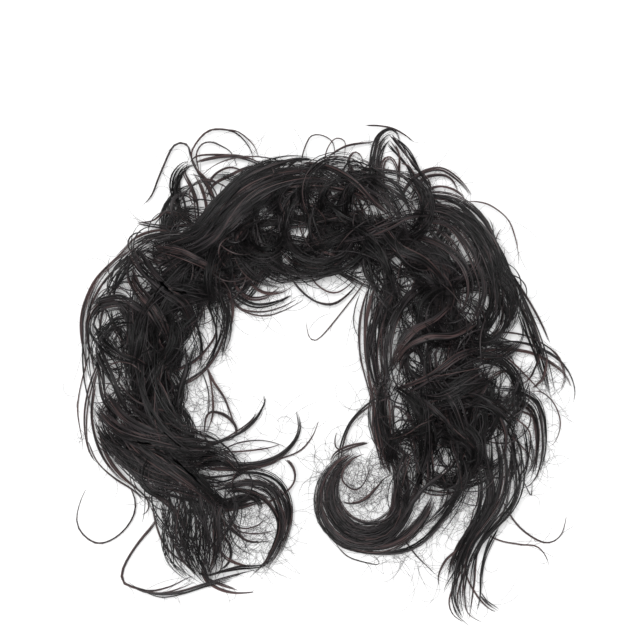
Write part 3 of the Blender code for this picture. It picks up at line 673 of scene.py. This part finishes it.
def on_sight_lines(plan, heights):
    """The plan moved along the camera's lines of sight to the given heights."""
    middle = from_pixels(PHOTO_MIDDLE)
    nearer = (heights - FOCUS_HEIGHT) / CAMERA_DISTANCE
    return middle + (plan - middle) * (1 - nearer[..., None])


def walked(start, headings, length):
    """A line in plan from the start, one even step along each heading."""
    moves = np.column_stack([np.cos(headings), np.sin(headings)]) * length / len(headings)
    return start + np.vstack([np.zeros(2), np.cumsum(moves, axis=0)])


def inside_band(points, radius):
    """Whether points in plan keep within the dense hair's reach of the cord."""
    offsets = points[:, None] - ROUTE_LINE[None]
    distances = np.linalg.norm(offsets, axis=2)
    spots = distances.argmin(axis=1)
    nearest = distances.min(axis=1)
    angles = ROUTE_ANGLES[spots]
    picked = offsets[np.arange(len(points)), spots]
    out = -np.sin(angles) * picked[:, 0] + np.cos(angles) * picked[:, 1]
    stations, outer, inner = np.array(REACHES).T
    reach = np.interp(spots / ROUTE_STEPS, stations, outer)
    reach = np.where(out > 0, reach, np.interp(spots / ROUTE_STEPS, stations, inner))
    reach = np.where((spots == 0) | (spots == ROUTE_STEPS), TAIL_REACH, reach)
    return bool((nearest + radius <= reach).all())


def within_box(lines):
    """The strands that keep near the CAD model's box."""
    low = np.array(cad_box[0])[:2] / MM - BOX_MARGIN
    high = np.array(cad_box[1])[:2] / MM + BOX_MARGIN
    plan = lines[..., :2]
    keep = ((plan > low) & (plan < high)).all(axis=(1, 2))
    return lines[keep]


def clear_of_slots(lines, chance):
    """The strands that leave the slots open, and a few that cross them."""
    keep = np.ones(len(lines), bool)
    for x, y, half_width, half_height in SLOTS:
        middle = from_pixels((x, y))
        size = np.array((half_width, half_height)) * PIXEL
        inside = (((lines[..., :2] - middle) / size) ** 2).sum(axis=2) < 1
        keep &= ~inside.any(axis=1) | (chance.random(len(lines)) < SLOT_CROSSING)
    return lines[keep]


def lock_heights(layer, steps):
    """A smooth rise and fall through the heights at the root, the middle and the tip."""
    t = np.linspace(0, 1, steps + 1)
    return layer.root * (1 - t) * (1 - 2 * t) + layer.middle * 4 * t * (1 - t) + layer.tip * t * (2 * t - 1)


def lock_spread(width, steps):
    """Half the width of a lock along it: a little narrower at its root, and drawn in at its tip."""
    t = np.linspace(0, 1, steps + 1)
    swell = ROOT_SPREAD + SPREAD_GAIN * np.sin(np.minimum(t / FULL_AT, 1) * math.pi / 2)
    taper = 1 - SPREAD_LOSS * (np.maximum(t - THINS_FROM, 0) / THINS_OVER) ** THINS_POWER
    return 0.5 * width * swell * taper


def draws(count, clump_size, chance):
    """Two ways to draw a number for each strand: one for its whole clump, and one for itself."""
    clumps = max(1, round(count / clump_size))
    clump = np.arange(count) % clumps

    def by_clump(low, high):
        return chance.uniform(low, high, clumps)[clump][:, None]

    def by_strand(low, high):
        return chance.uniform(low, high, count)[:, None]

    return by_clump, by_strand


def ripple(draw, turns, t):
    """A sine along each strand, from a drawn angle on and over a drawn number of turns."""
    return np.sin(draw(0, FULL_TURN) + FULL_TURN * draw(*turns) * t)


def strands(line, spread, count, strand, chance):
    """Centre lines of the strands of one lock: an array of strand, point and axis."""
    shares = np.linspace(0, 1, len(line))
    along = unit(np.gradient(line, axis=0))
    side = unit(np.cross(along, (0, 0, 1)))
    up = np.cross(side, along)
    by_clump, by_strand = draws(count, strand.clump_size, chance)
    start = by_clump(*CLUMP_STARTS) + by_strand(*OWN_STARTS)
    end = by_clump(*CLUMP_ENDS) + by_strand(*OWN_ENDS)
    t = start + (end - start) * np.linspace(0, 1, strand.steps + 1)
    clump_angle = by_clump(0, FULL_TURN)
    own_angle = by_strand(0, FULL_TURN)
    clump_out = strand.clump_out * np.sqrt(by_clump(0, 1))
    own_out = strand.own_out * np.sqrt(by_strand(0, 1))
    wander = strand.wander * ripple(by_clump, CLUMP_TURNS, t)
    lift = strand.wander * ripple(by_clump, CLUMP_TURNS, t)
    wave = strand.wave * ripple(by_strand, OWN_TURNS, t)
    stray = strand.stray * chance.normal(0, 1, (count, 1)) * np.maximum(t - STRAYS_FROM, 0) ** 2
    across = clump_out * np.cos(clump_angle) + own_out * np.cos(own_angle) + wander + wave + stray
    above = clump_out * np.sin(clump_angle) + own_out * np.sin(own_angle) + lift
    half = np.interp(t, shares, spread)
    made = np.zeros((*t.shape, 3))
    for axis in range(3):
        place = np.interp(t, shares, line[:, axis])
        sideways = np.interp(t, shares, side[:, axis])
        upwards = np.interp(t, shares, up[:, axis])
        made[..., axis] = place + (sideways * across + upwards * above) * half
    return made


def mass_line(hair, chance):
    """The line of one random lock: a sweep along the cord, or a curl away from it."""
    spot = chance.uniform(hair.first_station, hair.last_station) * ROUTE_STEPS
    side = chance.choice((1, -1))
    sense = chance.choice((1, -1))
    kind = SWEEP if chance.random() < SWEEP_SHARE else COIL
    lean = chance.uniform(*kind.leans)
    turn = chance.uniform(*kind.turns)
    heading = ROUTE_ANGLES[round(spot)] + math.radians(90 * side + sense * lean)
    length = chance.uniform(*MASS_LENGTHS)
    bend = -sense * math.radians(turn) * np.linspace(0, 1, MASS_STEPS)
    plan = walked(on_route(spot), heading + bend, length)
    layer = MASS_LAYERS[chance.integers(len(MASS_LAYERS))]
    return np.column_stack([plan, lock_heights(layer, MASS_STEPS)])


def mass_bundles(hair, chance):
    bundles = []
    for _ in range(MASS_TRIES):
        if len(bundles) == hair.mass_locks:
            break
        line = mass_line(hair, chance)
        width = chance.uniform(*MASS_THICKNESS)
        if not inside_band(line[1:, :2], MASS_IN_BAND * width):
            continue
        made = strands(line, lock_spread(width, MASS_STEPS), MASS_STRANDS, MASS_STRAND, chance)
        made = clear_of_slots(made, chance)
        if len(made):
            bundles.append((made, MASS_STRAND))
    return bundles


def tangle_bundles(hair, chance):
    """Small loose curls of a few strands each, all over the mass."""
    bundles = []
    for _ in range(TANGLE_TRIES):
        if len(bundles) == hair.tangles:
            break
        place = on_route(chance.uniform(hair.first_station, hair.last_station) * ROUTE_STEPS)
        place = place + chance.uniform(-TANGLE_OUT, TANGLE_OUT, 2)
        turn = chance.choice((1, -1)) * math.radians(chance.uniform(*TANGLE_TURNS))
        heading = chance.uniform(0, FULL_TURN) + turn * np.linspace(0, 1, TANGLE_STEPS)
        pace = chance.uniform(*TANGLE_LENGTHS) / TANGLE_STEPS * np.linspace(*TANGLE_PACES, TANGLE_STEPS)
        plan = place + np.cumsum(np.column_stack([np.cos(heading), np.sin(heading)]) * pace[:, None], axis=0)
        plan = np.vstack([place, plan])
        if not inside_band(plan, -TANGLE_OVER):
            continue
        layer = MASS_LAYERS[chance.integers(LOWEST_TANGLE_LAYER, len(MASS_LAYERS))]
        line = np.column_stack([plan, lock_heights(layer, TANGLE_STEPS)])
        spread = lock_spread(chance.uniform(*TANGLE_WIDTHS), TANGLE_STEPS)
        made = strands(line, spread, chance.integers(*TANGLE_STRANDS), TANGLE_STRAND, chance)
        made = clear_of_slots(made, chance)
        if len(made):
            bundles.append((made, TANGLE_STRAND))
    return bundles


def curl_bundles(hair, chance):
    bundles = []
    for layer, width, *numbers in hair.curls:
        heights = lock_heights(layer, LINE_STEPS)
        line = np.column_stack([on_sight_lines(pixel_line(numbers), heights), heights])
        spread = lock_spread((width + CURL_EXTRA_WIDTH) * PIXEL, LINE_STEPS)
        count = round(CURL_FIRST_STRANDS + width + CURL_STRANDS_PER_SQUARE * width**2)
        # Thin curls on the low layers take the lighter, redder tone of painted light shining through them
        strand = THIN_STRAND if width <= THIN_CURL and layer in (FLOOR, LOW) else CURL_STRAND
        bundles.append((strands(line, spread, count, strand, chance), strand))
    return bundles


def fan_lines(layer, count, first, last, chance):
    """Strands of a fan: each clump keeps its own share of the way from the first line to the last."""
    first = pixel_line(first)
    last = pixel_line(last)
    heights = lock_heights(layer, LINE_STEPS)
    shares = np.linspace(0, 1, LINE_STEPS + 1)
    own_out = FAN_STRAND.own_out
    by_clump, by_strand = draws(count, FAN_STRAND.clump_size, chance)
    start = by_clump(*FAN_CLUMP_STARTS) + by_strand(*OWN_STARTS)
    end = by_clump(*FAN_CLUMP_ENDS) + by_strand(*FAN_OWN_ENDS)
    t = start + (end - start) * np.linspace(0, 1, FAN_STRAND.steps + 1)
    share = by_clump(0, 1) + by_strand(-own_out, own_out)
    share = share + FAN_STRAND.wander * ripple(by_clump, FAN_TURNS, t)
    lift = by_clump(*FAN_CLUMP_LIFTS) + by_strand(*FAN_OWN_LIFTS)
    made = np.zeros((*t.shape, 3))
    for axis in (0, 1):
        begin = np.interp(t, shares, first[:, axis])
        finish = np.interp(t, shares, last[:, axis])
        made[..., axis] = begin + (finish - begin) * share
    made[..., 2] = np.maximum(np.interp(t, shares, heights) + lift, LOWEST_MIDDLE)
    made[..., :2] = on_sight_lines(made[..., :2], made[..., 2])
    return made


def fan_bundles(hair, chance):
    return [(clear_of_slots(fan_lines(*fan, chance), chance), FAN_STRAND) for fan in hair.fans]


def sleeve_wave(t, chance):
    radius = chance.uniform(*SLEEVE_RADII)
    return radius * np.sin(chance.uniform(0, FULL_TURN) + chance.uniform(*SLEEVE_WAVES) * t)


def sleeve_bundles(hair, chance):
    """Strands that wind along the cord and hide it."""
    lines = []
    for _ in range(SLEEVE_STRANDS):
        start = chance.uniform(hair.first_station, hair.last_station)
        reach = chance.choice((1, -1)) * chance.uniform(*SLEEVE_REACHES)
        spots = np.clip(np.linspace(start, start + reach, SLEEVE_STRAND.steps + 1), 0, 1) * ROUTE_STEPS
        angles = np.interp(spots, range(ROUTE_STEPS + 1), np.unwrap(ROUTE_ANGLES))
        t = np.linspace(0, 1, len(spots))
        out = sleeve_wave(t, chance)
        up = sleeve_wave(t, chance)
        plan = on_route(spots) + np.column_stack([-np.sin(angles), np.cos(angles)]) * out[:, None]
        lines.append(np.column_stack([plan, CORD_HEIGHT + np.abs(up)]))
    return [(np.array(lines), SLEEVE_STRAND)]


def fuzz_bundles(hair, sources, chance):
    """Fine loose strands that leave the locks at random places."""
    lines = []
    steps = FUZZ_STRAND.steps
    for _ in range(hair.fuzz):
        bundle = sources[chance.integers(len(sources))][0]
        strand = bundle[chance.integers(len(bundle))]
        spot = chance.integers(len(strand) // 4, len(strand) - 1)
        ahead = strand[spot + 1] - strand[spot]
        heading = math.atan2(ahead[1], ahead[0]) + chance.normal(0, FUZZ_LEAN)
        length = chance.uniform(*FUZZ_LENGTHS)
        bend = chance.normal(0, FUZZ_BEND) * np.linspace(0, 1, steps)
        start = strand[spot, 2]
        end = max(LOWEST_MIDDLE, start * chance.uniform(*FUZZ_DROPS))
        plan = walked(strand[spot, :2], heading + bend, length)
        lines.append(np.column_stack([plan, np.linspace(start, end, steps + 1)]))
    for name, x, y, radius, count in NESTS:
        if name == hair.name:
            lines.extend(nest_lines(x, y, radius, count, chance))
    return [(within_box(np.array(lines)), FUZZ_STRAND)]


def nest_lines(x, y, radius, count, chance):
    """Fine strands that curl about inside one nest."""
    steps = FUZZ_STRAND.steps
    lines = []
    for _ in range(count):
        turn = chance.uniform(0, FULL_TURN)
        out = radius * math.sqrt(chance.random())
        start = from_pixels((x + out * math.cos(turn), y + out * math.sin(turn)))
        length = chance.uniform(*NEST_LENGTHS)
        bend = chance.choice((1, -1)) * math.radians(chance.uniform(*NEST_TURNS)) * np.linspace(0, 1, steps)
        plan = walked(start, chance.uniform(0, FULL_TURN) + bend, length)
        heights = np.linspace(chance.uniform(*NEST_HEIGHTS), chance.uniform(*NEST_HEIGHTS), steps + 1)
        lines.append(np.column_stack([plan, heights]))
    return lines


def strand_tubes(lines, width):
    """Points and faces of closed tubes along strand lines."""
    count, rings, _ = lines.shape
    along = unit(np.gradient(lines, axis=1))
    side = unit(np.cross(along, (0, 0, 1)) + (1e-6, 0, 0))
    up = np.cross(side, along)
    t = np.linspace(0, 1, rings)
    share = np.interp(t, (0, ROOT_TO, TIP_FROM, 1), (ROOT_WIDTH_SHARE, 1, 1, TIP_WIDTH_SHARE))
    half = (0.5 * width * share)[None, :, None, None]
    angles = (math.pi / 2 + 2 * math.pi * np.arange(STRAND_SIDES) / STRAND_SIDES)[:, None]
    points = (
        lines[:, :, None]
        + side[:, :, None] * (np.cos(angles) * half)
        + up[:, :, None] * (np.sin(angles) * STRAND_FLATNESS * half)
    ).reshape(-1, 3)
    lowest = points[:, 2].reshape(count, -1).min(axis=1)
    lift = np.maximum(TABLE_GAP - lowest, 0)
    points[:, 2] += np.repeat(lift, rings * STRAND_SIDES)
    points[:, 2] = np.minimum(points[:, 2], HAIR_HEIGHT)
    starts = np.arange(count)[:, None, None] * rings * STRAND_SIDES
    base = starts + np.arange(rings - 1)[None, :, None] * STRAND_SIDES
    corner = np.arange(STRAND_SIDES)
    after = (corner + 1) % STRAND_SIDES
    quads = np.stack(
        [base + corner, base + after, base + after + STRAND_SIDES, base + corner + STRAND_SIDES], axis=-1
    ).reshape(-1, 4)
    first = starts[:, 0] + corner[::-1]
    last = starts[:, 0] + (rings - 1) * STRAND_SIDES + corner
    return points, quads, np.vstack([first, last])


def add_object(name, data):
    made = bpy.data.objects.new(name, data)
    bpy.context.scene.collection.objects.link(made)
    return made


def hair_mesh(name, bundles, chance):
    """One mesh of all strands. Bundles are pairs of strand lines and a kind of strand."""
    places, quads, ends, tones = [], [], [], []
    offset = 0
    for lines, strand in bundles:
        points, sides, caps = strand_tubes(lines, strand.width)
        places.append(points)
        quads.append(sides + offset)
        ends.append(caps + offset)
        tone = strand.tone + chance.normal(0, BUNDLE_TONE_SPREAD)
        tone = tone + chance.normal(0, STRAND_TONE_SPREAD, len(lines))
        tones.append(np.repeat(np.clip(tone, 0, 1), len(points) // len(lines)))
        offset += len(points)
    places = np.vstack(places) * MM
    quads = np.vstack(quads)
    ends = np.vstack(ends)
    mesh = bpy.data.meshes.new(name)
    mesh.vertices.add(len(places))
    mesh.vertices.foreach_set("co", places.ravel())
    mesh.loops.add(quads.size + ends.size)
    mesh.loops.foreach_set("vertex_index", np.concatenate([quads.ravel(), ends.ravel()]))
    mesh.polygons.add(len(quads) + len(ends))
    starts = np.concatenate([np.arange(len(quads)) * 4, quads.size + np.arange(len(ends)) * 3])
    mesh.polygons.foreach_set("loop_start", starts)
    mesh.update(calc_edges=True)
    mesh.validate()
    tone = mesh.attributes.new("tone", "FLOAT", "POINT")
    tone.data.foreach_set("value", np.concatenate(tones).astype(np.float32))
    return add_object(name, mesh)


def hair_material(finish):
    """Dark hair: each strand has its own tone, and fine noise varies it along the strand."""
    made = bpy.data.materials.new(finish.name)
    made.use_nodes = True
    nodes, links = made.node_tree.nodes, made.node_tree.links
    shader = nodes["Principled BSDF"]
    tone = nodes.new("ShaderNodeAttribute")
    tone.attribute_name = "tone"
    place = nodes.new("ShaderNodeTexCoord")
    noise = nodes.new("ShaderNodeTexNoise")
    noise.inputs["Scale"].default_value = NOISE_SCALE
    noise.inputs["Detail"].default_value = NOISE_DETAIL
    links.new(place.outputs["Object"], noise.inputs["Vector"])
    mix = nodes.new("ShaderNodeMath")
    mix.operation = "MULTIPLY_ADD"
    mix.inputs[1].default_value = NOISE_SHARE
    links.new(noise.outputs["Fac"], mix.inputs[0])
    shifted = nodes.new("ShaderNodeMath")
    shifted.operation = "SUBTRACT"
    shifted.inputs[1].default_value = NOISE_SHARE / 2
    links.new(tone.outputs["Fac"], shifted.inputs[0])
    links.new(shifted.outputs[0], mix.inputs[2])
    ramp = nodes.new("ShaderNodeValToRGB")
    dark, light = ramp.color_ramp.elements
    dark.position = DARK_AT
    dark.color = (*finish.dark, 1)
    light.position = LIGHT_AT
    light.color = (*finish.light, 1)
    ramp.color_ramp.elements.new(RED_AT).color = (*finish.red, 1)
    links.new(mix.outputs[0], ramp.inputs["Fac"])
    links.new(ramp.outputs["Color"], shader.inputs["Base Color"])
    shader.inputs["Roughness"].default_value = finish.roughness
    shader.inputs["Specular IOR Level"].default_value = SPECULAR
    return made


def add_table():
    signs = ((-1, -1), (1, -1), (1, 1), (-1, 1))
    mesh = bpy.data.meshes.new("table_top")
    mesh.from_pydata([(x * TABLE_HALF, y * TABLE_HALF, 0) for x, y in signs], [], [(0, 1, 2, 3)])
    white = bpy.data.materials.new("white_table")
    white.use_nodes = True
    shader = white.node_tree.nodes["Principled BSDF"]
    shader.inputs["Base Color"].default_value = TABLE_WHITE
    shader.inputs["Roughness"].default_value = TABLE_ROUGHNESS
    mesh.materials.append(white)
    floor = add_object("table_top", mesh)


def add_light():
    lamp = bpy.data.lights.new("overhead", "AREA")
    lamp.size = LIGHT_SIZE
    lamp.energy = LIGHT_POWER
    light = add_object("overhead", lamp)
    light.location = LIGHT_PLACE
    light.rotation_euler = (-Vector(LIGHT_PLACE)).to_track_quat("-Z", "Y").to_euler()


def add_camera():
    cam = bpy.data.cameras.new("camera")
    cam.lens = LENS
    cam.sensor_width = SENSOR
    middle = from_pixels(PHOTO_MIDDLE)
    camera = add_object("camera", cam)
    camera.location = (middle[0] * MM, middle[1] * MM, (CAMERA_DISTANCE + FOCUS_HEIGHT) * MM)
    bpy.context.scene.camera = camera


def add_world():
    world = bpy.data.worlds.new("studio")
    world.use_nodes = True
    background = world.node_tree.nodes["Background"]
    background.inputs["Color"].default_value = WORLD_COLOUR
    background.inputs["Strength"].default_value = WORLD_STRENGTH
    bpy.context.scene.world = world


def add_hair():
    """Four pieces for each length of hair, which stand in for its CAD solid."""
    strand_finish = hair_material(STRAND_FINISH)
    fuzz_finish = hair_material(FUZZ_FINISH)
    for number, hair in enumerate(HAIRS):
        node = "hair_" + hair.name
        chance = np.random.default_rng(SEED + number)
        mass = mass_bundles(hair, chance)
        curls = curl_bundles(hair, chance)
        fans = fan_bundles(hair, chance) + sleeve_bundles(hair, chance)
        curls = curls + tangle_bundles(hair, chance)
        fuzz = fuzz_bundles(hair, mass + curls + fans, chance)
        for kind, bundles in (("mass", mass), ("fans", fans), ("curls", curls), ("fuzz", fuzz)):
            piece = hair_mesh(f"{node}_{kind}", bundles, chance)
            piece.data.materials.append(fuzz_finish if kind == "fuzz" else strand_finish)
            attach(piece, "root")
            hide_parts(node)


def main():
    add_hair()
    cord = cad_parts["core_cord"]
    cord.data.materials.clear()
    cord.data.materials.append(hair_material(CORD_FINISH))
    add_table()
    add_world()
    add_light()
    add_camera()
    bpy.context.scene.view_settings.view_transform = "Standard"


main()
